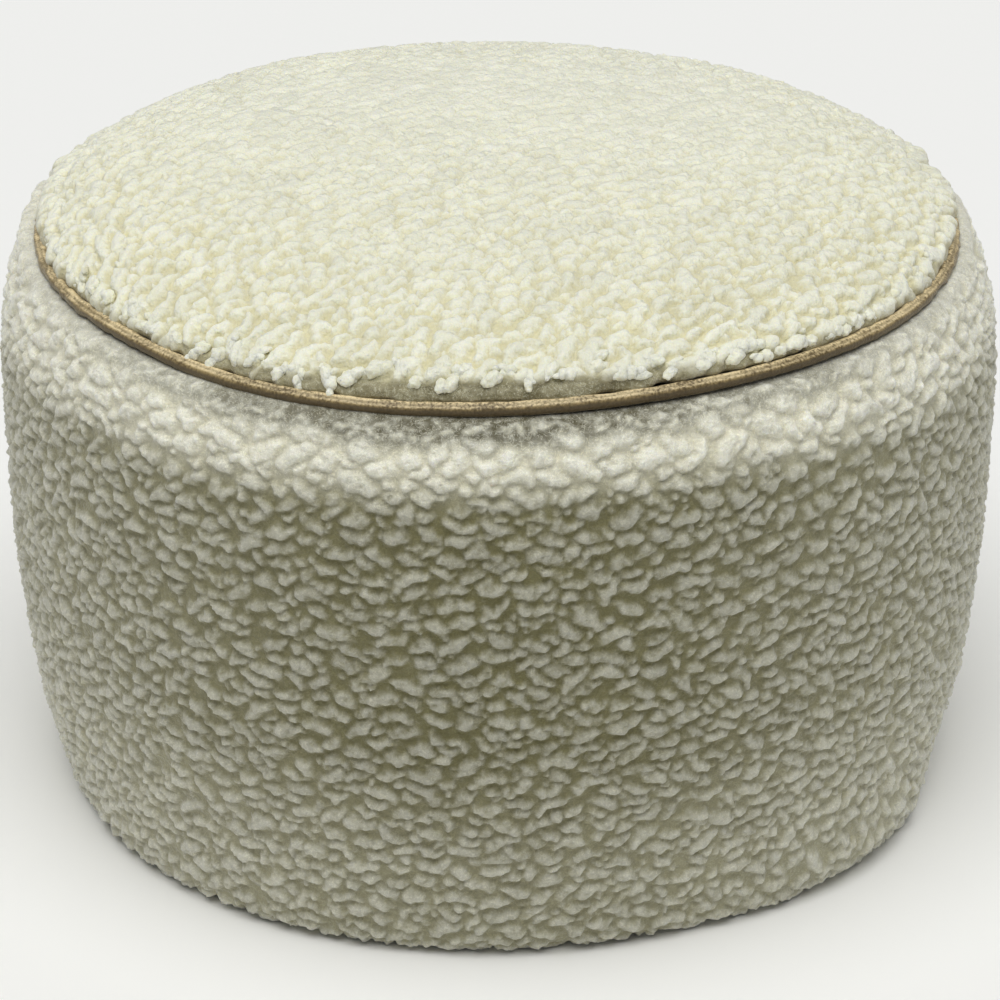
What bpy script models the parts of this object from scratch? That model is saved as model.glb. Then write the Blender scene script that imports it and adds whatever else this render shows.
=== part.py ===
"""A round pouf: a filled fleece drum with a crowned round top, a corded piping in the seam
between them, and a plain round cloth underneath. Metres, +Z up, the front faces -Y, and the
origin is on the floor under the middle."""

import math
from collections import namedtuple

import bmesh
import bpy
from mathutils import Matrix, Vector, noise

# Driving dimensions.
OUTER_RADIUS = 0.230  # at the widest, over the pile
WIDEST_HEIGHT = 0.187
SEAM_RADIUS = 0.2077  # the middle of the piping
SEAM_HEIGHT = 0.2615
CROWN_RISE = 0.0344  # from the piping up to the top of the crown
CROWN_FULLNESS = 2.55  # 2 is an ellipse, more is flatter on top and rounder at the rim
SHOULDER_FULLNESS = 2.3
WALL_TAPER = 0.0163  # how much the wall draws in towards the floor
WALL_BELLY = 2.3  # 1 is a straight cone, more keeps the wall upright for longer
FOOT_ROUNDING = 0.0025  # the last turn of the wall, under the pouf
PIPING_RADIUS = 0.00325
BASE_RADIUS = 0.1985
BASE_THICKNESS = 0.003
BASE_EDGE = 0.0008
SEAM_GAP = 0.0003  # between neighbouring pieces
FLOOR_CLEARANCE = 0.0003  # the turned-under fleece hangs just clear of the floor

GROOVE_RADIUS = PIPING_RADIUS + 1.5 * SEAM_GAP  # flat facets cut a little into the gap
MID_RADIUS = 0.11
ROUND_STEPS = 90
PIPING_SIDES = 8

# How uneven the sewn and filled cover is. Azimuth is in degrees from the front, growing to
# the right as seen from the front.
Wave = namedtuple("Wave", "azimuth spread rise out")
SEAM_WAVES = (
    Wave(azimuth=-52, spread=8, rise=0.0019, out=0.0),
    Wave(azimuth=-23, spread=19, rise=-0.0022, out=0.0),
    Wave(azimuth=27, spread=18, rise=0.0020, out=0.0),
    Wave(azimuth=71, spread=13, rise=-0.0012, out=0.0),
    Wave(azimuth=118, spread=20, rise=0.0008, out=-0.0026),
    Wave(azimuth=-116, spread=30, rise=0.0010, out=0.0008),
)

Swell = namedtuple("Swell", "azimuth height spread drop depth")
WALL_SWELLS = (
    Swell(azimuth=49, height=0.005, spread=11, drop=0.016, depth=0.0098),
    Swell(azimuth=78, height=0.016, spread=9, drop=0.015, depth=-0.0066),
    Swell(azimuth=-28, height=0.004, spread=18, drop=0.018, depth=0.0026),
    Swell(azimuth=-76, height=0.009, spread=14, drop=0.014, depth=-0.0028),
    Swell(azimuth=-30, height=0.120, spread=26, drop=0.055, depth=0.0012),
    Swell(azimuth=20, height=0.060, spread=20, drop=0.040, depth=-0.0012),
    Swell(azimuth=150, height=0.095, spread=30, drop=0.060, depth=0.0022),
    Swell(azimuth=-145, height=0.050, spread=24, drop=0.045, depth=-0.0020),
)

CROWN_LEAN = 0.0042  # the filling has settled towards the left
CROWN_LEAN_FADE = 4  # how late the lean fades out towards the rim
FILLING_LUMP_SIZE = 0.050
FILLING_LUMP_DEPTH = 0.0012

# Where the two ends of the piping meet, and how much the cord thins there.
PIPING_JOIN_AZIMUTH = 67.0
PIPING_JOIN_SPREAD = 2.6
PIPING_JOIN_PINCH = 0.26
PIPING_PUCKER_SIZE = 0.016
PIPING_PUCKER_DEPTH = 0.07


def smooth_step(value, low, high):
    """0 below low, 1 above high, with an easy run between them."""
    share = min(max((value - low) / (high - low), 0.0), 1.0)
    return share * share * (3.0 - 2.0 * share)


def bell(offset, spread):
    return math.exp(-0.5 * (offset / spread) ** 2)


def azimuth_of(point):
    return math.degrees(math.atan2(point.x, -point.y))


def azimuth_between(azimuth, other):
    """The turn from other to azimuth, from -180 to 180 degrees."""
    return (azimuth - other + 180.0) % 360.0 - 180.0


def seam_wave(azimuth, way):
    """How far the seam runs off its level circle. The way is "rise" or "out"."""
    shares = ((bell(azimuth_between(azimuth, wave.azimuth), wave.spread), wave) for wave in SEAM_WAVES)
    return sum(share * getattr(wave, way) for share, wave in shares)


def follow_seam(point):
    """Carries a point along with the seam: all the way at the seam, not at all in the middle."""
    radius = math.hypot(point.x, point.y)
    by_radius = smooth_step(radius, 0.0, 0.95 * SEAM_RADIUS)
    by_height = smooth_step(point.z, WIDEST_HEIGHT, SEAM_HEIGHT - 0.006)
    share = by_radius * by_height
    azimuth = azimuth_of(point)
    point.z += seam_wave(azimuth, "rise") * share
    if share > 0.0:
        point.xy *= 1.0 + seam_wave(azimuth, "out") * share / radius


def wall_swell(azimuth, height):
    """How far the wall bulges out or is pressed in."""
    depth = 0.0
    for swell in WALL_SWELLS:
        across = bell(azimuth_between(azimuth, swell.azimuth), swell.spread)
        up = bell(height - swell.height, swell.drop)
        depth += swell.depth * across * up
    return depth


def filling_lump(point):
    """The soft lumps of the filling, which fade out at the tight seam."""
    radius = math.hypot(point.x, point.y)
    from_seam = math.hypot(radius - SEAM_RADIUS, point.z - SEAM_HEIGHT)
    fade = smooth_step(from_seam, 0.008, 0.035)
    return FILLING_LUMP_DEPTH * noise.noise(point / FILLING_LUMP_SIZE) * fade


def groove(start, end, points):
    """Outline points around the piping, from one angle to another, in degrees from outward."""
    angles = [math.radians(start + (end - start) * i / (points - 1)) for i in range(points)]
    return [
        (SEAM_RADIUS + GROOVE_RADIUS * math.cos(a), SEAM_HEIGHT + GROOVE_RADIUS * math.sin(a))
        for a in angles
    ]


def wall_radius(height):
    """The wall between the floor and its widest height."""
    down = 1.0 - height / WIDEST_HEIGHT
    return OUTER_RADIUS - WALL_TAPER * down**WALL_BELLY


def shoulder_point(turn):
    """The round shoulder: turn is 0 at the widest height and 90 degrees at the seam."""
    reach = math.cos(math.radians(turn)) ** (2.0 / SHOULDER_FULLNESS)
    lift = math.sin(math.radians(turn)) ** (2.0 / SHOULDER_FULLNESS)
    return (
        SEAM_RADIUS + (OUTER_RADIUS - SEAM_RADIUS) * reach,
        WIDEST_HEIGHT + (SEAM_HEIGHT - WIDEST_HEIGHT) * lift,
    )


def crown_point(turn):
    """The crown: turn is 0 at the seam and 90 degrees at the middle of the top."""
    reach = math.cos(math.radians(turn)) ** (2.0 / CROWN_FULLNESS)
    lift = math.sin(math.radians(turn)) ** (2.0 / CROWN_FULLNESS)
    return (SEAM_RADIUS * reach, SEAM_HEIGHT + CROWN_RISE * lift)


def turned_solid(outline):
    """A closed mesh from an outline of (radius, height) points that starts and ends on the axis."""
    bm = bmesh.new()
    verts = [bm.verts.new((0.0, -radius, height)) for radius, height in outline]
    edges = [bm.edges.new(pair) for pair in zip(verts, verts[1:])]
    bmesh.ops.spin(
        bm,
        geom=verts + edges,
        cent=(0.0, 0.0, 0.0),
        axis=(0.0, 0.0, 1.0),
        angle=math.tau,
        steps=ROUND_STEPS,
        use_merge=True,
    )
    bmesh.ops.remove_doubles(bm, verts=bm.verts, dist=1e-6)
    bmesh.ops.recalc_face_normals(bm, faces=bm.faces)
    return bm


def finish(bm, name, material):
    """Makes the named object from a mesh, smooth-shaded."""
    for face in bm.faces:
        face.smooth = True
    mesh = bpy.data.meshes.new(name)
    bm.to_mesh(mesh)
    bm.free()
    mesh.materials.append(material)
    piece = bpy.data.objects.new(name, mesh)
    bpy.context.scene.collection.objects.link(piece)
    return piece


def cloth_material(name, colour, roughness):
    material = bpy.data.materials.new(name)
    material.use_nodes = True
    shader = material.node_tree.nodes["Principled BSDF"]
    shader.inputs["Base Color"].default_value = (*colour, 1.0)
    shader.inputs["Roughness"].default_value = roughness
    shader.inputs["Metallic"].default_value = 0.0
    return material


def base_panel():
    """The plain round cloth that the pouf stands on."""
    outline = [
        (0.0, 0.0),
        (MID_RADIUS, 0.0),
        (BASE_RADIUS - BASE_EDGE, 0.0),
        (BASE_RADIUS, BASE_EDGE),
        (BASE_RADIUS, BASE_THICKNESS - BASE_EDGE),
        (BASE_RADIUS - BASE_EDGE, BASE_THICKNESS),
        (MID_RADIUS, BASE_THICKNESS),
        (0.0, BASE_THICKNESS),
    ]
    material = cloth_material("base_cloth", (0.55, 0.48, 0.36), 0.9)
    return finish(turned_solid(outline), "base_panel", material)


def side_band():
    """The long fleece strip round the filled drum: turned under at the floor, full at the
    shoulder, and drawn in to the groove that the piping lies in."""
    inside = BASE_RADIUS + SEAM_GAP
    underside = BASE_THICKNESS + SEAM_GAP
    up_the_wall = (0.03, 0.09, 0.18, 0.3, 0.43, 0.56, 0.7, 0.85, 1.0)
    wall_heights = [WIDEST_HEIGHT * share for share in up_the_wall]
    outline = [
        (0.0, underside),
        (MID_RADIUS, underside),
        (inside, underside),
        (inside, FLOOR_CLEARANCE),
        (wall_radius(0.0) - FOOT_ROUNDING, FLOOR_CLEARANCE),
    ]
    outline += [(wall_radius(height), height) for height in wall_heights]
    outline += [shoulder_point(turn) for turn in (16, 31, 44, 55, 65, 73)]
    outline += groove(-48, -177, 5)
    outline += [(MID_RADIUS, SEAM_HEIGHT - SEAM_GAP / 2), (0.0, SEAM_HEIGHT - SEAM_GAP / 2)]
    bm = turned_solid(outline)
    for vert in bm.verts:
        radius = math.hypot(vert.co.x, vert.co.y)
        outside = smooth_step(radius, BASE_RADIUS + 0.003, BASE_RADIUS + 0.007)
        if outside > 0.0:
            out = wall_swell(azimuth_of(vert.co), vert.co.z) + filling_lump(vert.co)
            vert.co.xy *= 1.0 + out * outside / radius
        follow_seam(vert.co)
    return finish(bm, "side_band", cloth_material("side_fleece", (0.74, 0.72, 0.62), 0.95))


def top_panel():
    """The round fleece top on its filling: drawn in over the piping, then a full crown."""
    outline = [(0.0, SEAM_HEIGHT + SEAM_GAP / 2), (MID_RADIUS, SEAM_HEIGHT + SEAM_GAP / 2)]
    outline += groove(177, 105, 4)
    outline += [crown_point(turn) for turn in (6, 12, 19, 27, 35, 43, 52, 61, 70, 78, 85, 90)]
    bm = turned_solid(outline)
    for vert in bm.verts:
        radius = math.hypot(vert.co.x, vert.co.y)
        on_crown = smooth_step(vert.co.z, SEAM_HEIGHT + 0.004, SEAM_HEIGHT + 0.020)
        inside_rim = 1.0 - (radius / SEAM_RADIUS) ** CROWN_LEAN_FADE
        lean = -CROWN_LEAN * vert.co.x / SEAM_RADIUS * inside_rim
        vert.co.z += (lean + filling_lump(vert.co)) * on_crown
        follow_seam(vert.co)
    return finish(bm, "top_panel", cloth_material("top_fleece", (0.86, 0.84, 0.74), 0.95))


def piping_thickness(point):
    """The cord's share of its full thickness: slightly puckered, and pinched at its join."""
    pucker = PIPING_PUCKER_DEPTH * (0.5 + 0.5 * noise.noise(point / PIPING_PUCKER_SIZE))
    from_join = azimuth_between(azimuth_of(point), PIPING_JOIN_AZIMUTH)
    return 1.0 - pucker - PIPING_JOIN_PINCH * bell(from_join, PIPING_JOIN_SPREAD)


def piping():
    """The suede-covered cord sewn into the seam, one closed ring that follows its waves."""
    bm = bmesh.new()
    at_front = Matrix.Translation((0.0, -SEAM_RADIUS, SEAM_HEIGHT))
    across = Matrix.Rotation(math.radians(90.0), 4, "Y")
    bmesh.ops.create_circle(bm, segments=PIPING_SIDES, radius=PIPING_RADIUS, matrix=at_front @ across)
    bmesh.ops.spin(
        bm,
        geom=bm.verts[:] + bm.edges[:],
        cent=(0.0, 0.0, 0.0),
        axis=(0.0, 0.0, 1.0),
        angle=math.tau,
        steps=ROUND_STEPS,
        use_merge=True,
    )
    bmesh.ops.recalc_face_normals(bm, faces=bm.faces)
    for vert in bm.verts:
        outward = Vector((vert.co.x, vert.co.y, 0.0)).normalized()
        middle = outward * SEAM_RADIUS + Vector((0.0, 0.0, SEAM_HEIGHT))
        vert.co = middle + (vert.co - middle) * piping_thickness(middle)
        follow_seam(vert.co)
    return finish(bm, "piping", cloth_material("piping_suede", (0.40, 0.28, 0.13), 0.6))


def main():
    for old in list(bpy.data.objects):
        bpy.data.objects.remove(old, do_unlink=True)
    base_panel()
    side_band()
    top_panel()
    piping()


main()
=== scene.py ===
"""A round fleece pouf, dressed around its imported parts. Metres, +Z up, the front faces -Y."""

import math

import bmesh
import bpy
import numpy as np
from mathutils import Matrix, Vector, noise


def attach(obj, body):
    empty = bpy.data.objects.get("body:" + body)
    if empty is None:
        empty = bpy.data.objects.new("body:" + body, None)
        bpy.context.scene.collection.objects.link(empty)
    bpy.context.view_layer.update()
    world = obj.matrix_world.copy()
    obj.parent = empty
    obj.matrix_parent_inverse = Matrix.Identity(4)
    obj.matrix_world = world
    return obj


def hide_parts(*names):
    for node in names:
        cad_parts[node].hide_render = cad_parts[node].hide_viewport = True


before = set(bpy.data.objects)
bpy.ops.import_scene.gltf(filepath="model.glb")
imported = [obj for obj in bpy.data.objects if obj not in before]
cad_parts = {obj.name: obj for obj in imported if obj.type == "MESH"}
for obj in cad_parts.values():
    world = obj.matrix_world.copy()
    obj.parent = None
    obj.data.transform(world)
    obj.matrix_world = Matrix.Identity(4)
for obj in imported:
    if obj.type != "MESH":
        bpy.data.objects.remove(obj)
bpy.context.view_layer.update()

# ---------------------------------------------------------------------------------------------
# The room: a plain pale floor, a wide soft light overhead and a pale fill all round. The camera
# stands well back in front and looks down on the pouf.

CAMERA_DISTANCE = 1.7124
CAMERA_PITCH = 26.34
CAMERA_ROLL = -0.19
CAMERA_AIM_HEIGHT = 0.1171
CAMERA_LENS = 129.6
CAMERA_SENSOR = 36.0
CAMERA_SHIFT = 0.001
ROOM_FILL_COLOUR = (0.93, 0.96, 1.0, 1.0)
ROOM_FILL_STRENGTH = 0.20
LIGHT_FROM = (-0.03, -0.26, 0.96)
LIGHT_COLOUR = (1.0, 0.995, 0.97)
LIGHT_STRENGTH = 2.35
LIGHT_WIDTH = math.radians(55.0)
FLOOR_SIZE = 30.0
FLOOR_COLOUR = (0.97, 0.97, 0.96, 1.0)

scene = bpy.context.scene
scene.view_settings.view_transform = "Standard"

camera = bpy.data.objects.new("camera", bpy.data.cameras.new("camera"))
camera.data.lens = CAMERA_LENS
camera.data.sensor_width = CAMERA_SENSOR
camera.data.shift_x = CAMERA_SHIFT
pitch = math.radians(CAMERA_PITCH)
camera_back = CAMERA_DISTANCE * math.cos(pitch)
camera_height = CAMERA_AIM_HEIGHT + CAMERA_DISTANCE * math.sin(pitch)
camera.matrix_world = (
    Matrix.Translation((0.0, -camera_back, camera_height))
    @ Matrix.Rotation(math.radians(90.0) - pitch, 4, "X")
    @ Matrix.Rotation(math.radians(CAMERA_ROLL), 4, "Z")
)
scene.collection.objects.link(camera)
scene.camera = camera

world = bpy.data.worlds.new("pale_room")
world.use_nodes = True
fill = world.node_tree.nodes["Background"]
fill.inputs["Color"].default_value = ROOM_FILL_COLOUR
fill.inputs["Strength"].default_value = ROOM_FILL_STRENGTH
scene.world = world

ceiling = bpy.data.lights.new("ceiling", "SUN")
ceiling.energy = LIGHT_STRENGTH
ceiling.angle = LIGHT_WIDTH
ceiling.color = LIGHT_COLOUR
ceiling_place = bpy.data.objects.new("ceiling", ceiling)
ceiling_place.matrix_world = Vector(LIGHT_FROM).to_track_quat("Z", "Y").to_matrix().to_4x4()
scene.collection.objects.link(ceiling_place)

floor_mesh = bpy.data.meshes.new("floor")
bm = bmesh.new()
bmesh.ops.create_grid(bm, x_segments=2, y_segments=2, size=FLOOR_SIZE)
bm.to_mesh(floor_mesh)
bm.free()
floor = bpy.data.objects.new("floor", floor_mesh)
scene.collection.objects.link(floor)
floor_paint = bpy.data.materials.new("floor_paint")
floor_paint.use_nodes = True
floor_shader = floor_paint.node_tree.nodes["Principled BSDF"]
floor_shader.inputs["Base Color"].default_value = FLOOR_COLOUR
floor_shader.inputs["Roughness"].default_value = 0.8
floor_mesh.materials.append(floor_paint)

# ---------------------------------------------------------------------------------------------
# The side band: one long strip of curly fleece round the filled drum. The strip is sewn to the
# piping at the top and turned under at the floor, and the filling keeps it tight and rounded.

SEAM_RADIUS = 0.2077
SEAM_HEIGHT = 0.2615
SEAM_STEPS = 72
AT_SEAM = 0.004
BASE_RADIUS = 0.1985
COVERED_HEIGHT = 0.012
COVERED_BY_TOP = 0.009
COVERED_BY_BASE = 0.008
SIDE_MIDDLE_RADIUS = 0.15
SIDE_MIDDLE_HEIGHT = 0.12
SIDE_STRIP_LENGTH = 1.42
SIDE_STRIP_WIDTH = 0.30
SIDE_COLUMNS = 150
SIDE_ROWS = 33
SIDE_REFINE = 3
SIDE_PILE_DEPTH = 0.0025
SIDE_PILE_PROUD = 0.0004
SIDE_PILE_DROOP = 0.0004
SIDE_FLUFF_RISE = 0.0062
SIDE_PRESSED_FOOT = 0.0002
SIDE_PRESSED_WIDTH = 0.006
SIDE_PRESSED_MORE_IN_FRONT = 0.008
SIDE_SHOULDER_WIDTH = 0.034
SIDE_FLUFF_AND_LIGHT_AT_ENDS = 0.42
SIDE_FLUFF_AND_LIGHT_AT_FOOT = 0.20
FLUFF_AZIMUTH = math.radians(100.0)
FLUFF_SPREAD = math.radians(22.0)
FLUFF_BAND = 0.007
FLUFF_BAND_WIDTH = 0.005
FRONT_SPREAD = math.radians(62.0)
OUTLINE_STEPS = 90
PILE_STEP = 0.0005
PILE_WANDER_SIZE = 0.0012
FIBRE_GRAIN = 820.0
FLECK_GRAIN = 300.0
CLUMP_GRAIN = 130.0
HAIR_GRAIN = 380.0
HAIR_TWIST = 1.6
HAIR_THICKNESS = 0.05
FLEECE_GLOW = (1.0, 0.9, 0.6)
FLEECE_GLOW_DEPTH = 0.0022
FLEECE_BUMP_DEPTH = 0.0011

chance = np.random.default_rng(11)


def applied(piece):
    """Makes what the modifiers show the piece's own mesh, and removes them."""
    graph = bpy.context.evaluated_depsgraph_get()
    shown = piece.evaluated_get(graph)
    mesh = bpy.data.meshes.new_from_object(shown, preserve_all_data_layers=True, depsgraph=graph)
    old = piece.data
    piece.modifiers.clear()
    piece.data = mesh
    bpy.data.meshes.remove(old)


def points_of(mesh):
    points = np.empty(len(mesh.vertices) * 3, np.float32)
    mesh.vertices.foreach_get("co", points)
    return points.reshape(-1, 3)


def normals_of(mesh):
    normals = np.empty(len(mesh.vertices) * 3, np.float32)
    mesh.vertex_normals.foreach_get("vector", normals)
    return normals.reshape(-1, 3)


def put_points(mesh, points):
    mesh.vertices.foreach_set("co", np.ascontiguousarray(points, np.float32).ravel())
    mesh.update()


def keep_on_points(mesh, name, values):
    """Stores one value a point, for the piece's material."""
    attribute = mesh.attributes.new(name, "FLOAT", "POINT")
    attribute.data.foreach_set("value", np.ascontiguousarray(values, np.float32))


def drop_faces(mesh, drop):
    """Deletes the faces whose middle the rule drop(x, y, z) names."""
    bm = bmesh.new()
    bm.from_mesh(mesh)
    gone = [face for face in bm.faces if drop(*face.calc_center_median())]
    bmesh.ops.delete(bm, geom=gone, context="FACES")
    bm.to_mesh(mesh)
    bm.free()


def refined(piece, levels):
    """Splits every face into four, levels times, rounding the form."""
    finer = piece.modifiers.new("finer", "SUBSURF")
    finer.levels = levels
    finer.render_levels = levels
    applied(piece)


def smooth_between(values, low, high):
    """0 below low and 1 above high, eased between."""
    share = np.clip((values - low) / (high - low), 0.0, 1.0)
    return share * share * (3.0 - 2.0 * share)


def azimuth_of(points):
    """The angle round the pouf: 0 at the very front, growing towards the right."""
    return np.arctan2(points[:, 0], -points[:, 1])


def seam_at_azimuth(points):
    """The radius and height of the seam, read from the piping's solid, at each point's azimuth."""
    cord = points_of(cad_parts["piping"].data)
    which = np.round((azimuth_of(cord) + math.pi) / math.tau * SEAM_STEPS).astype(int) % SEAM_STEPS
    count = np.bincount(which, minlength=SEAM_STEPS)
    steps = np.arange(SEAM_STEPS) / SEAM_STEPS * math.tau - math.pi
    azimuth = azimuth_of(points)
    return tuple(
        np.interp(azimuth, steps, np.bincount(which, values, SEAM_STEPS) / count, period=math.tau)
        for values in (np.hypot(cord[:, 0], cord[:, 1]), cord[:, 2])
    )


def seam_distance(points):
    """How far each point is from the seam's middle line."""
    radius, height = seam_at_azimuth(points)
    return np.hypot(np.hypot(points[:, 0], points[:, 1]) - radius, points[:, 2] - height)


def at_the_front(azimuth, spread=FRONT_SPREAD):
    """1 at the very front, where the pile beside the seam is pressed flat, and 0 at the sides."""
    return np.exp(-((azimuth / spread) ** 2))


def standing_up(azimuth, from_seam):
    """1 in a soft band past the left and right ends of the seam, where the pile stands up and hides
    the piping, and 0 elsewhere."""
    at_ends = np.exp(-(((np.abs(azimuth) - FLUFF_AZIMUTH) / FLUFF_SPREAD) ** 2))
    return at_ends * np.exp(-(((from_seam - FLUFF_BAND) / FLUFF_BAND_WIDTH) ** 2))


def outline_of(points, middle_radius, middle_height):
    """The cloth's mean outline, from its foot round to its top, seen from a middle that the whole
    outline goes round: the angles, and the radius and height at each."""
    radius = np.hypot(points[:, 0], points[:, 1])
    angle = np.arctan2(radius - middle_radius, middle_height - points[:, 2])
    steps = np.linspace(angle.min(), angle.max(), OUTLINE_STEPS)
    which = np.clip(np.digitize(angle, steps) - 1, 0, OUTLINE_STEPS - 2)
    count = np.bincount(which, minlength=OUTLINE_STEPS - 1)
    some = count > 0
    middles = (steps[1:] + steps[:-1]) / 2.0
    sums = [np.bincount(which, values, OUTLINE_STEPS - 1) for values in (radius, points[:, 2])]
    means = [values[some] / count[some] for values in sums]
    return middles[some], np.stack(means, 1)


def reach_of(outline):
    """How far each point of an outline is along it."""
    return np.concatenate(((0.0,), np.cumsum(np.hypot(*np.diff(outline, axis=0).T))))


def reach_along(points, middle_radius, middle_height):
    """How far each point is along the cloth's outline."""
    radius = np.hypot(points[:, 0], points[:, 1])
    angle = np.arctan2(radius - middle_radius, middle_height - points[:, 2])
    angles, outline = outline_of(points, middle_radius, middle_height)
    return np.interp(angle, angles, reach_of(outline))


def drum_shows(radius, height):
    """Where the drum's outline isn't covered by the top or the base cloth."""
    under_top = (height > SEAM_HEIGHT - COVERED_HEIGHT) & (radius < SEAM_RADIUS - COVERED_BY_TOP)
    under_base = (height < COVERED_HEIGHT) & (radius < BASE_RADIUS - COVERED_BY_BASE)
    return ~(under_top | under_base)


def softened(heights, size):
    """The heights over the flat cloth with all that is finer than size smoothed away."""
    down = np.fft.fftfreq(heights.shape[0])[:, None] * size / PILE_STEP
    across = np.fft.rfftfreq(heights.shape[1])[None, :] * size / PILE_STEP
    kept_share = np.exp(-2.0 * math.pi**2 * (down**2 + across**2))
    return np.fft.irfft2(np.fft.rfft2(heights) * kept_share, s=heights.shape)


def soft_hills(shape, size):
    """Soft random hills, about 0 with a spread of 1, some four times size wide."""
    hills = softened(chance.standard_normal(shape), size)
    return hills / hills.std()


def sampled(heights, rows, columns):
    """The heights between their points. They go round from the last column to the first."""
    rows = np.clip(rows, 0.0, heights.shape[0] - 1.001)
    top = rows.astype(np.int32)
    left = np.floor(columns).astype(np.int32)
    down, right = rows - top, columns - left
    left %= heights.shape[1]
    beside = (left + 1) % heights.shape[1]
    upper = heights[top, left] * (1.0 - right) + heights[top, beside] * right
    lower = heights[top + 1, left] * (1.0 - right) + heights[top + 1, beside] * right
    return upper * (1.0 - down) + lower * down


class Pile:
    """The curls of a piece of fleece laid flat: how far each spot is from the nearest curl's
    middle line and from the next one's, in curl widths, and the tone of the nearest curl."""

    def __init__(self, width, length):
        shape = (round(length / PILE_STEP), round(width / PILE_STEP))
        self.near = np.full(shape, 3.0, np.float32)
        self.later = np.full(shape, 3.0, np.float32)
        self.tone = np.zeros(shape, np.float32)

    def curl(self, half_length, half_width, slant):
        """The distance from one bent curl's middle line, in curl widths, on a small square."""
        reach = math.ceil((half_length + half_width * 1.9) / PILE_STEP)
        steps = (np.arange(-reach, reach + 1) * PILE_STEP).astype(np.float32)
        along = steps[None, :] * math.cos(slant) + steps[:, None] * math.sin(slant)
        across = steps[:, None] * math.cos(slant) - steps[None, :] * math.sin(slant)
        bend = chance.normal(0.0, 0.30) / max(half_length, 0.002)
        wave = chance.normal(0.0, 0.20) / max(half_length, 0.002) ** 2
        inside = np.clip(along, -half_length, half_length)
        middle = bend * inside**2 + wave * inside**3 - 0.4 * bend * half_length**2
        share = inside / half_length
        girth = half_width * (1.0 - 0.22 * share**2 + chance.uniform(-0.22, 0.22) * share)
        girth *= 1.0 + 0.14 * np.sin(share * chance.uniform(2.0, 4.5) + chance.uniform(0.0, 6.3))
        side = across - middle
        side = np.where(side < 0.0, side / 0.86, side / 1.16)
        return np.hypot(along - inside, side) / girth

    def lay(self, tries, lengths, widths, slant, spread, overlap, room):
        """Lays curls at random where there is room, leaving out those that would lie on others.
        Lengths and widths are half a curl's, and slant and spread are its direction's."""
        rows, columns = self.near.shape
        for spot in chance.choice(np.flatnonzero(room), tries):
            row, column = divmod(int(spot), columns)
            if self.near[row, column] < 1.0:
                continue
            half_length, half_width = chance.uniform(*lengths), chance.uniform(*widths)
            curl = self.curl(half_length, half_width, chance.normal(slant, spread))
            half = curl.shape[0] // 2
            low, high = max(0, row - half), min(rows, row + half + 1)
            curl = curl[low - row + half : high - row + half]
            down = slice(low, high)
            across = np.arange(column - half, column + half + 1) % columns
            under = self.near[down][:, across]
            covered = curl < 1.0
            taken = (under < 1.0) | ~room[down][:, across]
            if np.count_nonzero(covered & taken) > overlap * np.count_nonzero(covered):
                continue
            later = self.later[down][:, across]
            self.later[down, across] = np.minimum(later, np.maximum(under, curl))
            self.near[down, across] = np.minimum(under, curl)
            tone = self.tone[down][:, across]
            self.tone[down, across] = np.where(curl < under, chance.uniform(-1.0, 1.0), tone)

    def heights(self, grow, crease, soft, wander):
        """Height from 0 in the partings to 1 on the curls, and the tone. Grow widens the curls,
        crease is the partings' width in curl widths, and wander makes the edges uneven."""
        rows, columns = np.mgrid[0 : self.near.shape[0], 0 : self.near.shape[1]].astype(np.float32)
        rows += soft_hills(rows.shape, PILE_WANDER_SIZE) * wander / PILE_STEP
        columns += soft_hills(rows.shape, PILE_WANDER_SIZE) * wander / PILE_STEP
        layers = (self.near, self.later, self.tone)
        near, later, tone = (sampled(layer, rows, columns) for layer in layers)
        dome = np.sqrt(np.clip(1.0 - (near / grow) ** 2, 0.0, 1.0))
        gap = np.clip((later - near) / crease, 0.0, 1.0)
        return softened(dome * (gap * (2.0 - gap)) ** 0.7, soft), softened(tone, soft)


def plug_in(tree, socket, value):
    if isinstance(value, bpy.types.NodeSocket):
        tree.links.new(value, socket)
    else:
        socket.default_value = value


def maths(tree, operation, *values):
    node = tree.nodes.new("ShaderNodeMath")
    node.operation = operation
    for socket, value in zip(node.inputs, values):
        plug_in(tree, socket, value)
    return node.outputs[0]


def weighed(tree, first, first_weight, second, second_weight):
    """The sum of two values, each times its weight."""
    first = maths(tree, "MULTIPLY", first, first_weight)
    return maths(tree, "ADD", first, maths(tree, "MULTIPLY", second, second_weight))


def ramped(tree, value, low, high, start=0.0, end=1.0):
    """Value from low to high, eased onto start to end."""
    node = tree.nodes.new("ShaderNodeMapRange")
    node.interpolation_type = "SMOOTHSTEP"
    sockets = ("Value", "From Min", "From Max", "To Min", "To Max")
    for name, given in zip(sockets, (value, low, high, start, end)):
        plug_in(tree, node.inputs[name], given)
    return node.outputs["Result"]


def noise_of(tree, vector, scale, detail=2.0, twist=0.0):
    node = tree.nodes.new("ShaderNodeTexNoise")
    plug_in(tree, node.inputs["Vector"], vector)
    node.inputs["Scale"].default_value = scale
    node.inputs["Detail"].default_value = detail
    node.inputs["Distortion"].default_value = twist
    return node.outputs["Fac"]


def mixed(tree, share, first, second):
    node = tree.nodes.new("ShaderNodeMix")
    node.data_type = "RGBA"
    plug_in(tree, node.inputs["Factor"], share)
    for name, colour in (("A", first), ("B", second)):
        plain = isinstance(colour, tuple)
        plug_in(tree, node.inputs[name], (*colour, 1.0) if plain else colour)
    return node.outputs["Result"]


def kept(tree, name):
    """What keep_on_points has stored under this name."""
    node = tree.nodes.new("ShaderNodeAttribute")
    node.attribute_name = name
    return node.outputs["Fac"]


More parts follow.
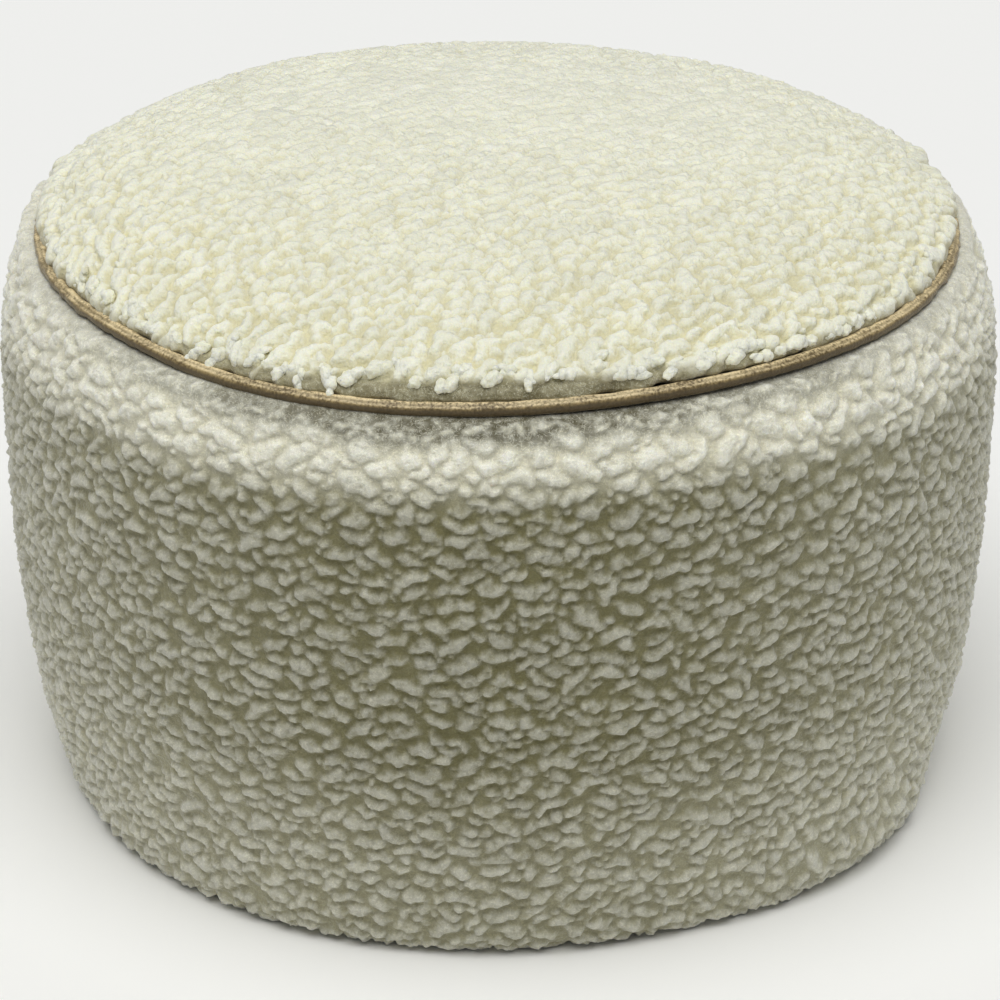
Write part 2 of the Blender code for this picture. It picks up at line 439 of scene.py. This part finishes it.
def bumped(tree, shader, relief, strength, distance):
    """Gives a material a small bump, for relief finer than the mesh."""
    bump = tree.nodes.new("ShaderNodeBump")
    bump.inputs["Strength"].default_value = strength
    bump.inputs["Distance"].default_value = distance
    tree.links.new(relief, bump.inputs["Height"])
    tree.links.new(bump.outputs["Normal"], shader.inputs["Normal"])


def fleece(name, tuft, flat_and_shaded_tuft, parting_and_crevice_shade, flat_and_shaded_parting, felt_dark, streakiness, parted):
    """Curly fleece: pale curls with warm partings between, and a speckled felt of short fibres where the
    pile is pressed down beside a seam. The partings' colour is partly the backing cloth and partly
    painted shade in the crevices. Curls and partings each have a lit colour and a duller one: the duller
    ones are the flat felt's beside a seam and painted shade down the wall, which faces away from the
    light overhead. The colour goes from the partings' to the curls' between the two heights in parted."""
    material = bpy.data.materials.new(name)
    material.use_nodes = True
    tree = material.node_tree
    shader = tree.nodes["Principled BSDF"]
    place = tree.nodes.new("ShaderNodeTexCoord").outputs["Object"]
    wool, felt = kept(tree, "wool"), kept(tree, "felt")
    fibres = noise_of(tree, place, FIBRE_GRAIN, 3.0)
    flecks = noise_of(tree, place, FLECK_GRAIN, 2.0)
    clumps = noise_of(tree, place, CLUMP_GRAIN, 2.0)
    flecked = maths(tree, "SUBTRACT", weighed(tree, flecks, 1.1, clumps, 0.35), 0.725)
    mottled = maths(tree, "ADD", wool, flecked)
    fluff_and_light = kept(tree, "fluff_and_light")
    # Painted light and shade: where the share stored on the points is low, the curls and partings take
    # the duller, shaded colours.
    wool_colour_lit_and_shaded = mixed(tree, fluff_and_light, flat_and_shaded_tuft, tuft)
    shaded_parting_colour = mixed(tree, fluff_and_light, flat_and_shaded_parting, parting_and_crevice_shade)
    # The partings' colour is partly the backing cloth and partly painted shade in the crevices between
    # the curls.
    colour = mixed(tree, ramped(tree, mottled, *parted), shaded_parting_colour, wool_colour_lit_and_shaded)
    speckle = weighed(tree, flecks, 0.6, clumps, 0.4)
    felted = mixed(tree, ramped(tree, speckle, 0.34, 0.80), felt_dark, flat_and_shaded_tuft)
    wisps = noise_of(tree, place, HAIR_GRAIN, 1.0, HAIR_TWIST)
    from_hair = maths(tree, "ABSOLUTE", maths(tree, "SUBTRACT", wisps, 0.5))
    hairs = ramped(tree, from_hair, 0.0, HAIR_THICKNESS, 1.0, 0.0)
    felted = mixed(tree, maths(tree, "MULTIPLY", hairs, 0.28), felted, tuft)
    colour = mixed(tree, felt, colour, felted)
    streaks = maths(tree, "SUBTRACT", weighed(tree, fibres, 0.6, hairs, 0.45), 0.37)
    tone = maths(tree, "ADD", 1.0, weighed(tree, kept(tree, "tone"), 0.06, streaks, streakiness))
    brightness = tree.nodes.new("ShaderNodeVectorMath")
    brightness.operation = "SCALE"
    plug_in(tree, brightness.inputs[0], colour)
    plug_in(tree, brightness.inputs["Scale"], tone)
    tree.links.new(brightness.outputs[0], shader.inputs["Base Color"])
    shader.inputs["Roughness"].default_value = 0.9
    shader.inputs["Specular IOR Level"].default_value = 0.2
    shader.inputs["Sheen Weight"].default_value = 0.35
    shader.inputs["Sheen Roughness"].default_value = 0.45
    shader.inputs["Subsurface Weight"].default_value = 0.35
    shader.inputs["Subsurface Radius"].default_value = FLEECE_GLOW
    shader.inputs["Subsurface Scale"].default_value = FLEECE_GLOW_DEPTH
    bumped(tree, shader, weighed(tree, fibres, 0.8, flecks, 1.6), 0.75, FLEECE_BUMP_DEPTH)
    return material


filled_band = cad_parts["side_band"]
drum_outline = outline_of(points_of(filled_band.data), SIDE_MIDDLE_RADIUS, SIDE_MIDDLE_HEIGHT)[1]
drum_outline = drum_outline[drum_shows(drum_outline[:, 0], drum_outline[:, 1])]
reach = reach_of(drum_outline)
even = np.linspace(0.0, reach[-1], SIDE_ROWS + 1)
outline = np.stack([np.interp(even, reach, drum_outline[:, side]) for side in (0, 1)], 1)
bm = bmesh.new()
row = [bm.verts.new((0.0, -out, height)) for out, height in outline]
edges = [bm.edges.new(pair) for pair in zip(row, row[1:])]
full_turn = {"cent": (0, 0, 0), "axis": (0, 0, 1), "angle": math.tau, "steps": SIDE_COLUMNS}
bmesh.ops.spin(bm, geom=row + edges, use_merge=True, **full_turn)
bm.normal_update()
if sum(face.normal.xy.dot(face.calc_center_median().xy) for face in bm.faces) < 0.0:
    bmesh.ops.reverse_faces(bm, faces=bm.faces)
mesh = bpy.data.meshes.new("drum")
bm.to_mesh(mesh)
bm.free()
drum = bpy.data.objects.new("drum", mesh)
scene.collection.objects.link(drum)
wrap = drum.modifiers.new("onto_filling", "SHRINKWRAP")
wrap.target = filled_band
refined(drum, SIDE_REFINE)
points = points_of(drum.data)
normals = normals_of(drum.data)
from_seam = seam_distance(points)
azimuth = azimuth_of(points)
in_front = at_the_front(azimuth)

# The pile laid flat, as long and as wide as the strip: fat curls on the shoulder, smaller ones down
# the wall with ever smaller ones between them, and a few thin ones in the pressed part by the seam.
pile = Pile(SIDE_STRIP_LENGTH, SIDE_STRIP_WIDTH)
up_strip = reach_along(points, SIDE_MIDDLE_RADIUS, SIDE_MIDDLE_HEIGHT)
height_up = np.arange(pile.near.shape[0])[:, None] * PILE_STEP + np.zeros(pile.near.shape)
around = np.arange(pile.near.shape[1]) * PILE_STEP / SIDE_STRIP_LENGTH * math.tau
ring = np.stack((np.sin(around), -np.cos(around), np.zeros(around.shape)), 1)
seam_wave = seam_at_azimuth(ring)[1] - SEAM_HEIGHT
below_seam = up_strip[from_seam < AT_SEAM].mean() - height_up + seam_wave[None, :]
below_seam += 0.0035 * soft_hills(pile.near.shape, 0.010)
flat_front = at_the_front((around + math.pi) % math.tau - math.pi)
pile_starts = SIDE_PRESSED_WIDTH + SIDE_PRESSED_MORE_IN_FRONT * flat_front[None, :]
pressed = (below_seam > AT_SEAM) & (below_seam < pile_starts)
shoulder = (below_seam > pile_starts) & (below_seam < SIDE_SHOULDER_WIDTH)
wall = below_seam > pile_starts + 0.002
# tries, half lengths, half widths, slant and its spread, overlap, room
pile.lay(5200, (0.0030, 0.0080), (0.0036, 0.0050), 0.0, 0.45, 0.20, shoulder)
pile.lay(20000, (0.0030, 0.0062), (0.0024, 0.0036), 0.0, 0.32, 0.06, wall)
pile.lay(32000, (0.0014, 0.0031), (0.0021, 0.0030), 0.0, 0.42, 0.09, wall)
pile.lay(14000, (0.0004, 0.0014), (0.0012, 0.0019), 0.0, 0.60, 0.10, wall)
pile.lay(900, (0.0010, 0.0045), (0.0010, 0.0024), 0.3, 0.90, 0.10, pressed)
wool, tone = pile.heights(grow=1.30, crease=1.20, soft=0.00050, wander=0.00055)
# The power narrows the curls' tops and widens the partings, and the knobs make the curls lumpy.
wool = np.maximum(wool, 0.0) ** 1.7
knobs = 0.13 * soft_hills(wool.shape, 0.0006) + 0.11 * soft_hills(wool.shape, 0.0012)
wool = np.clip(wool * (1.0 + knobs), 0.0, 1.3)

# The flat pile wrapped round the drum: each point moves out by its curl's height, and a little down.
rows, columns = up_strip / PILE_STEP, azimuth / math.tau * SIDE_STRIP_LENGTH / PILE_STEP
wool = sampled(wool, rows, columns).astype(np.float32)
tone = sampled(tone, rows, columns).astype(np.float32)
felt = 1.0 - smooth_between(from_seam, 0.005 + 0.006 * in_front, 0.013 + 0.010 * in_front)
deeper = 1.0 + 0.15 * (1.0 - smooth_between(from_seam, 0.030, 0.050))
depth = SIDE_PILE_DEPTH * (1.0 - 0.5 * felt) * deeper
rise = ((wool - 1.0) * depth + SIDE_PILE_PROUD) * smooth_between(from_seam, 0.002, 0.008)
rise += SIDE_FLUFF_RISE * standing_up(azimuth, from_seam)
downhill = normals * normals[:, 2:] - np.array((0.0, 0.0, 1.0), np.float32)
moved = points + normals * rise[:, None] + downhill * (wool * SIDE_PILE_DROOP)[:, None]
moved[:, 2] = np.maximum(moved[:, 2], SIDE_PRESSED_FOOT)
put_points(drum.data, moved)
# The curls' heights also set their colour: the partings' darker, warmer colour is partly the backing
# cloth and partly painted crevice shade.
keep_on_points(drum.data, "wool", np.maximum(wool, 0.9 * felt))
keep_on_points(drum.data, "felt", felt * (1.0 - 0.9 * wool) * (0.20 + 0.80 * in_front**2))
# Painted light and shade: the share of lit colours is high on the shoulder, which faces the light
# overhead, lower beside the seam at the front, fades out down the wall, which takes the shaded colours,
# and rises again towards the left and right ends and towards the foot.
fades = smooth_between(from_seam, 0.023 + 0.012 * (1.0 - in_front), 0.046 + 0.020 * (1.0 - in_front))
fluff_and_light = (0.95 - 0.45 * in_front * (1.0 - smooth_between(from_seam, 0.008, 0.020))) * (1.0 - fades)
at_foot = SIDE_FLUFF_AND_LIGHT_AT_FOOT * (1.0 - smooth_between(points[:, 2], 0.04, 0.12))
fluff_and_light = np.maximum(fluff_and_light, SIDE_FLUFF_AND_LIGHT_AT_ENDS * (1.0 - in_front) + at_foot)
keep_on_points(drum.data, "fluff_and_light", fluff_and_light)
keep_on_points(drum.data, "tone", tone)

# The duller colours are the flat felt's beside the seam, and painted shade on the wall, which faces away
# from the light overhead; the fleece is the same cream all over.
side_fleece = fleece(
    "side_fleece",
    tuft=(0.93, 0.92, 0.80),
    flat_and_shaded_tuft=(0.49, 0.48, 0.395),
    parting_and_crevice_shade=(0.78, 0.755, 0.605),
    flat_and_shaded_parting=(0.210, 0.195, 0.095),
    felt_dark=(0.11, 0.098, 0.052),
    streakiness=0.46,
    parted=(0.0, 1.25),
)
drum.data.materials.clear()
drum.data.materials.append(side_fleece)
for face in drum.data.polygons:
    face.use_smooth = True
drum_lie = drum.data.attributes.new("lie", "FLOAT_VECTOR", "POINT")
drum_lie.data.foreach_set("vector", normals_of(drum.data).ravel())


def in_quarter(x, y, faces_at):
    """Whether a place is in the quarter of the drum that faces this azimuth."""
    along = x * math.sin(faces_at) - y * math.cos(faces_at)
    across = y * math.sin(faces_at) + x * math.cos(faces_at)
    return along > 0.0 and -along <= across < along


# The strip is split into four quarters, which keep the whole drum's smooth shading at their edges.
for quarter_name, turned in (("front", 0.0), ("right", 90.0), ("back", 180.0), ("left", 270.0)):
    mesh = drum.data.copy()
    mesh.name = "side_band_" + quarter_name
    drop_faces(mesh, lambda x, y, z: not in_quarter(x, y, math.radians(turned)))
    lie = np.empty(len(mesh.vertices) * 3, np.float32)
    mesh.attributes["lie"].data.foreach_get("vector", lie)
    mesh.normals_split_custom_set_from_vertices(lie.reshape(-1, 3))
    mesh.attributes.remove(mesh.attributes["lie"])
    quarter = bpy.data.objects.new("side_band_" + quarter_name, mesh)
    scene.collection.objects.link(quarter)
    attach(quarter, "root")
    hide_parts("side_band")
bpy.data.objects.remove(drum)

# ---------------------------------------------------------------------------------------------
# The base cloth: a round of plain strong twill in a dull beige, sewn to the foot of the side
# strip. Its solid has the real piece's form and stays, in the woven cloth's look.

TWILL_STEP = 0.0011
TWILL_LIGHT = (0.44, 0.40, 0.32)
TWILL_DARK = (0.17, 0.15, 0.11)

twill = bpy.data.materials.new("base_twill")
twill.use_nodes = True
tree = twill.node_tree
shader = tree.nodes["Principled BSDF"]
place = tree.nodes.new("ShaderNodeTexCoord").outputs["Object"]
sides = tree.nodes.new("ShaderNodeSeparateXYZ")
tree.links.new(place, sides.inputs[0])
across = maths(tree, "MULTIPLY", sides.outputs["X"], math.tau / TWILL_STEP)
along = maths(tree, "MULTIPLY", sides.outputs["Y"], math.tau / TWILL_STEP)
ribs = maths(tree, "SINE", maths(tree, "ADD", across, along))
threads = maths(tree, "SINE", maths(tree, "MULTIPLY", across, 2.0))
weave = weighed(tree, ribs, 1.0, threads, 0.35)
slubs = noise_of(tree, place, 160.0, 3.0)
shade = weighed(tree, weave, 0.22, slubs, 1.0)
colour = mixed(tree, ramped(tree, shade, 0.15, 0.85), TWILL_DARK, TWILL_LIGHT)
tree.links.new(colour, shader.inputs["Base Color"])
shader.inputs["Roughness"].default_value = 0.85
shader.inputs["Sheen Weight"].default_value = 0.15
bumped(tree, shader, weave, 0.6, 0.0003)
for material_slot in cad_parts["base_panel"].material_slots:
    material_slot.material = twill

# ---------------------------------------------------------------------------------------------
# The piping: a bias strip of tan suede-like cloth folded round a cord and sewn into the seam. It
# is slightly wrinkled where the strip is eased round, and its sewn lip shows along the upper side.

PIPING_REFINE = 2
PIPING_FILL_OUT = 0.00022
PIPING_LIP_DEPTH = 0.00045
PIPING_LIP_ANGLE = 62.0
PIPING_WRINKLE_DEPTH = 0.00055
PIPING_WRINKLES_IN_FRONT = 0.35
PIPING_WRINKLES_MORE_AT_ENDS = 1.90
SUEDE_DARK = (0.11, 0.074, 0.026)
SUEDE_TAN = (0.46, 0.345, 0.155)
SUEDE_PAINTED_SHADE_UNDER = (0.07, 0.046, 0.016)
SUEDE_PAINTED_HIGHLIGHT = (0.92, 0.76, 0.46)
SUEDE_CREASE_SHADE = (0.10, 0.066, 0.025)
SUEDE_SHEEN = (1.0, 0.88, 0.65, 1.0)

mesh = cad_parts["piping"].data.copy()
bm = bmesh.new()
bm.from_mesh(mesh)
bmesh.ops.remove_doubles(bm, verts=bm.verts, dist=1e-5)
bmesh.ops.recalc_face_normals(bm, faces=bm.faces)
bmesh.ops.join_triangles(bm, faces=bm.faces, angle_face_threshold=1.0, angle_shape_threshold=2.0)
bm.to_mesh(mesh)
bm.free()
piping = bpy.data.objects.new("piping_cord", mesh)
scene.collection.objects.link(piping)
refined(piping, PIPING_REFINE)
points = points_of(piping.data)
normals = normals_of(piping.data)
azimuth = azimuth_of(points)
radius = np.hypot(points[:, 0], points[:, 1])
middle_radius, middle_height = seam_at_azimuth(points)
turn = np.degrees(np.arctan2(points[:, 2] - middle_height, radius - middle_radius))
lip = np.exp(-(((turn - PIPING_LIP_ANGLE - 8.0 * np.sin(azimuth * 7.0)) / 13.0) ** 2))
wrinkles = np.array([noise.noise(Vector((a * 62.0, t * 0.012, 3.0))) for a, t in zip(azimuth, turn)])
folds = np.array([noise.noise(Vector((a * 21.0, t * 0.008, 9.0))) for a, t in zip(azimuth, turn)])
near_ends = smooth_between(np.abs(np.sin(azimuth)), 0.60, 0.98)
wrinkles *= PIPING_WRINKLES_IN_FRONT + PIPING_WRINKLES_MORE_AT_ENDS * near_ends
rise = PIPING_FILL_OUT - lip * PIPING_LIP_DEPTH + (wrinkles + folds * 0.6) * PIPING_WRINKLE_DEPTH
put_points(piping.data, points + normals * rise[:, None])
# The crease share marks painted shade: in the lip's groove and in the wrinkles' hollows.
keep_on_points(piping.data, "crease", np.clip(lip * 0.9 - wrinkles * 0.8, 0.0, 1.0))

suede = bpy.data.materials.new("piping_suede")
suede.use_nodes = True
tree = suede.node_tree
shader = tree.nodes["Principled BSDF"]
place = tree.nodes.new("ShaderNodeTexCoord").outputs["Object"]
grain = noise_of(tree, place, 850.0, 2.0)
wear_and_highlight_patches = noise_of(tree, place, 48.0, 2.0)
# The wear and grain mottle the suede's colour, and also the painted highlight along its top.
wear_and_highlight = weighed(tree, wear_and_highlight_patches, 0.5, grain, 0.8)
colour = mixed(tree, ramped(tree, wear_and_highlight, 0.44, 0.86), SUEDE_DARK, SUEDE_TAN)
facing = tree.nodes.new("ShaderNodeSeparateXYZ")
tree.links.new(tree.nodes.new("ShaderNodeNewGeometry").outputs["Normal"], facing.inputs[0])
upward = facing.outputs["Z"]
# Painted shade: the underside of the cord, facing down, is darker.
under = maths(tree, "MULTIPLY", ramped(tree, upward, 0.70, 0.05), 0.88)
colour = mixed(tree, under, colour, SUEDE_PAINTED_SHADE_UNDER)
# Painted highlight: the top of the cord, facing up, is paler, mottled by the wear and grain.
painted_highlight_on_top = maths(tree, "MULTIPLY", ramped(tree, upward, 0.45, 1.00), ramped(tree, wear_and_highlight, 0.40, 0.84))
colour = mixed(tree, painted_highlight_on_top, colour, SUEDE_PAINTED_HIGHLIGHT)
# Painted shade in the lip's groove and the wrinkles' hollows.
colour = mixed(tree, maths(tree, "MULTIPLY", kept(tree, "crease"), 0.5), colour, SUEDE_CREASE_SHADE)
tree.links.new(colour, shader.inputs["Base Color"])
shader.inputs["Roughness"].default_value = 0.50
shader.inputs["Specular IOR Level"].default_value = 0.5
shader.inputs["Sheen Weight"].default_value = 0.5
shader.inputs["Sheen Roughness"].default_value = 0.35
shader.inputs["Sheen Tint"].default_value = SUEDE_SHEEN
bumped(tree, shader, maths(tree, "ADD", grain, wear_and_highlight_patches), 0.7, 0.0005)
piping.data.materials.clear()
piping.data.materials.append(suede)
for face in piping.data.polygons:
    face.use_smooth = True
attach(piping, "root")
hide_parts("piping")

# ---------------------------------------------------------------------------------------------
# The top: a round of the same curly fleece over its filling, crowned, and drawn in where it is sewn
# to the piping. Its curls lie slanting and are long at the rim, and sitting has flattened the rest.

TOP_CLOTH_SIZE = 0.46
TOP_MIDDLE_HEIGHT = 0.22
TOP_VOXEL = 0.0056
TOP_REFINE = 2
TOP_PILE_DEPTH = 0.0052
TOP_PILE_PROUD = 0.0008
TOP_PILE_DROOP = -0.0012
TOP_SEAM_FILL = 0.0030
TOP_FLUFF_RISE = 0.0050
TOP_PILE_SLANT = math.radians(53.0)
TOP_PILE_START = 0.0006
TOP_STRIP_WIDTH = 0.0046
TOP_STRIP_SPREAD = math.radians(30.0)
TOP_RIM_WIDTH = 0.030


def skin_of(node, voxel):
    """A new object with an even skin of small quads over a CAD solid."""
    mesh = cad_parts[node].data.copy()
    bm = bmesh.new()
    bm.from_mesh(mesh)
    bmesh.ops.remove_doubles(bm, verts=bm.verts, dist=1e-5)
    bmesh.ops.recalc_face_normals(bm, faces=bm.faces)
    bm.to_mesh(mesh)
    bm.free()
    piece = bpy.data.objects.new(node + "_skin", mesh)
    scene.collection.objects.link(piece)
    remesh = piece.modifiers.new("even_skin", "REMESH")
    remesh.mode = "VOXEL"
    remesh.voxel_size = voxel
    applied(piece)
    return piece


def hidden_on_crown(x, y, z):
    """Whether a place is on the crown's underside, inside the piping."""
    return z < SEAM_HEIGHT + AT_SEAM and math.hypot(x, y) < SEAM_RADIUS - COVERED_BY_TOP


def pile_start_at(azimuth):
    """How far in from the seam the top's pile starts: a bare strip shows at the very front."""
    return TOP_PILE_START + TOP_STRIP_WIDTH * at_the_front(azimuth, TOP_STRIP_SPREAD)


crown = skin_of("top_panel", TOP_VOXEL)
crown.name = "top_panel_fleece"
drop_faces(crown.data, hidden_on_crown)
refined(crown, TOP_REFINE)
points = points_of(crown.data)
normals = normals_of(crown.data)
azimuth = azimuth_of(points)
from_seam = seam_distance(points)
out = reach_along(points, 0.0, TOP_MIDDLE_HEIGHT)
out = out.max() - out
seam_out = out[from_seam < AT_SEAM].mean()

# The pile laid flat: the longest curls round the rim, then ever smaller ones over the whole cloth.
pile = Pile(TOP_CLOTH_SIZE, TOP_CLOTH_SIZE)
half_cloth = TOP_CLOTH_SIZE / 2.0
across = np.arange(pile.near.shape[0]) * PILE_STEP - half_cloth
flat = np.stack([side.ravel() for side in (*np.meshgrid(across, across), np.zeros(pile.near.shape))], 1)
seam_wave = (seam_at_azimuth(flat)[1] - SEAM_HEIGHT).reshape(pile.near.shape)
to_seam = seam_out - seam_wave - np.hypot(across[:, None], across[None, :])
to_seam += 0.0016 * soft_hills(pile.near.shape, 0.008)
pile_starts = pile_start_at(azimuth_of(flat).reshape(pile.near.shape))
rim = (to_seam > pile_starts) & (to_seam < TOP_RIM_WIDTH)
field = to_seam > pile_starts + 0.002
# tries, half lengths, half widths, slant and its spread, overlap, room
pile.lay(2600, (0.0045, 0.0105), (0.0028, 0.0040), TOP_PILE_SLANT, 0.30, 0.06, rim)
pile.lay(8000, (0.0030, 0.0068), (0.0031, 0.0043), TOP_PILE_SLANT, 0.26, 0.07, field)
pile.lay(13000, (0.0014, 0.0036), (0.0025, 0.0035), TOP_PILE_SLANT, 0.36, 0.12, field)
pile.lay(12000, (0.0004, 0.0016), (0.0015, 0.0024), TOP_PILE_SLANT, 0.50, 0.18, field)
wool, tone = pile.heights(grow=1.42, crease=1.05, soft=0.00040, wander=0.00060)
wool = np.maximum(wool, 0.38 * smooth_between(to_seam, pile_starts + 0.003, pile_starts + 0.008))
wool = np.clip(wool * (1.0 + 0.06 * soft_hills(wool.shape, 0.0008)), 0.0, 1.1)

# The flat pile laid over the crown: it is lower where it is sat on and beside the seam.
spread = out / np.maximum(np.hypot(points[:, 0], points[:, 1]), 1e-4)
rows = (points[:, 1] * spread + half_cloth) / PILE_STEP
columns = (points[:, 0] * spread + half_cloth) / PILE_STEP
wool = sampled(wool, rows, columns).astype(np.float32)
tone = sampled(tone, rows, columns).astype(np.float32)
forward = np.array((0.0, -1.0, 0.0), np.float32)
to_front = forward - normals * (normals @ forward)[:, None]
to_rim = seam_out - (seam_at_azimuth(points)[1] - SEAM_HEIGHT) - out
rim_at = pile_start_at(azimuth)
sat_flat = 0.30 * smooth_between(to_rim, 0.02, 0.11) + 0.45 * smooth_between(points[:, 1], -0.10, 0.10)
strip = 1.0 - smooth_between(to_rim, rim_at, rim_at + 0.008)
depth = TOP_PILE_DEPTH * (1.0 - 0.8 * sat_flat) * (1.0 - 0.5 * strip)
rise = ((wool - 1.0) * depth + TOP_PILE_PROUD) * smooth_between(from_seam, 0.002, 0.006)
rise += TOP_SEAM_FILL * (1.0 - smooth_between(from_seam, 0.003, 0.010))
rise += TOP_FLUFF_RISE * standing_up(azimuth, from_seam)
put_points(crown.data, points + normals * rise[:, None] + to_front * (wool * TOP_PILE_DROOP)[:, None])
# The curls' heights also set their colour: the partings' darker colour is partly the backing cloth and
# partly painted crevice shade, strongest towards the front rim and weakest at the back.
keep_on_points(crown.data, "wool", 1.0 - (1.0 - wool) * (1.6 - 1.75 * sat_flat))
bare = at_the_front(azimuth, TOP_STRIP_SPREAD)
# The bare strip beside the seam takes the duller colours, most at the front: it is drawn-in cloth, with
# painted shade under the curls that hang over it.
fluff_and_light = np.maximum(smooth_between(to_rim, rim_at, rim_at + 0.005), 0.5 - 0.4 * bare)
keep_on_points(crown.data, "fluff_and_light", fluff_and_light)
keep_on_points(crown.data, "felt", strip * (1.0 - wool) * (0.35 + 0.65 * bare))
keep_on_points(crown.data, "tone", tone)
top_fleece = fleece(
    "top_fleece",
    tuft=(0.92, 0.92, 0.77),
    flat_and_shaded_tuft=(0.46, 0.43, 0.30),
    parting_and_crevice_shade=(0.74, 0.70, 0.47),
    flat_and_shaded_parting=(0.40, 0.36, 0.22),
    felt_dark=(0.20, 0.18, 0.10),
    streakiness=0.13,
    parted=(0.0, 1.0),
)
crown.data.materials.clear()
crown.data.materials.append(top_fleece)
for face in crown.data.polygons:
    face.use_smooth = True
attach(crown, "root")
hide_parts("top_panel")

# ---------------------------------------------------------------------------------------------
# The rim curls: round the top's edge the pile spreads open, and single curls stand off as short
# chains of knobs that hang over the drawn-in strip beside the piping.

RIM_CURLS = 230
RIM_CURL_SPACING = 0.0080
RIM_CURL_BAND = 0.0070
RIM_CURL_INSET_IN_FRONT = 0.0022
RIM_CURL_SINK = 0.0004
RIM_KNOB_RADIUS = (0.0024, 0.0036)

root_at = rim_at + RIM_CURL_INSET_IN_FRONT * bare
choices = np.flatnonzero((to_rim > root_at) & (to_rim < root_at + RIM_CURL_BAND))
rooted = []
for which in chance.permutation(choices):
    if all(np.linalg.norm(points[which] - points[other]) > RIM_CURL_SPACING for other in rooted):
        rooted.append(which)
    if len(rooted) == RIM_CURLS:
        break
bm = bmesh.new()
wool_layer = bm.verts.layers.float.new("wool")
tone_layer = bm.verts.layers.float.new("tone")
fluff_and_light_layer = bm.verts.layers.float.new("fluff_and_light")
for which in rooted:
    root, outward = Vector(points[which]), Vector(normals[which])
    slant = chance.normal(TOP_PILE_SLANT, 0.4) + math.pi * (chance.random() < 0.6)
    line = Vector((math.cos(slant), math.sin(slant), 0.0))
    line = (line - outward * line.dot(outward)).normalized()
    side = outward.cross(line)
    turn = Matrix((line, side, outward)).transposed().to_4x4()
    spot, shade = root - outward * RIM_CURL_SINK, chance.uniform(-0.3, 1.0)
    size = chance.uniform(*RIM_KNOB_RADIUS) * (0.8 + 0.2 * at_the_front(azimuth[which]))
    for knob in range(chance.integers(1, 4)):
        long, wide, high = chance.uniform(1.1, 1.9), chance.uniform(0.85, 1.15), chance.uniform(0.8, 1.1)
        sizes = Vector((long, wide, high)) * size
        middle = spot - outward * size * 0.30
        shape = Matrix.Translation(middle) @ turn @ Matrix.Diagonal((*sizes, 1.0))
        made = bmesh.ops.create_icosphere(bm, subdivisions=3, radius=1.0, matrix=shape)
        for vert in made["verts"]:
            lump = 1.0 + 0.26 * noise.noise(vert.co / 0.0030) + 0.30 * noise.noise(vert.co / 0.0017)
            # Painted shade: each knob is paler on its outward side and darker on its inner side, towards
            # the cloth.
            vert[wool_layer] = 0.62 + 0.34 * (vert.co - middle).dot(outward) / size
            vert.co = middle + (vert.co - middle) * lump
            vert[tone_layer] = shade + 2.5 * noise.noise(vert.co / 0.0014)
            vert[fluff_and_light_layer] = 1.0
        spot = spot + line * size * chance.uniform(0.9, 1.5) + side * size * chance.normal(0.0, 0.50)
        size *= chance.uniform(0.65, 0.90)
for face in bm.faces:
    face.smooth = True
mesh = bpy.data.meshes.new("rim_curls")
bm.to_mesh(mesh)
bm.free()
mesh.materials.append(top_fleece)
rim_curls = bpy.data.objects.new("rim_curls", mesh)
scene.collection.objects.link(rim_curls)
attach(rim_curls, "root")
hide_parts("top_panel")
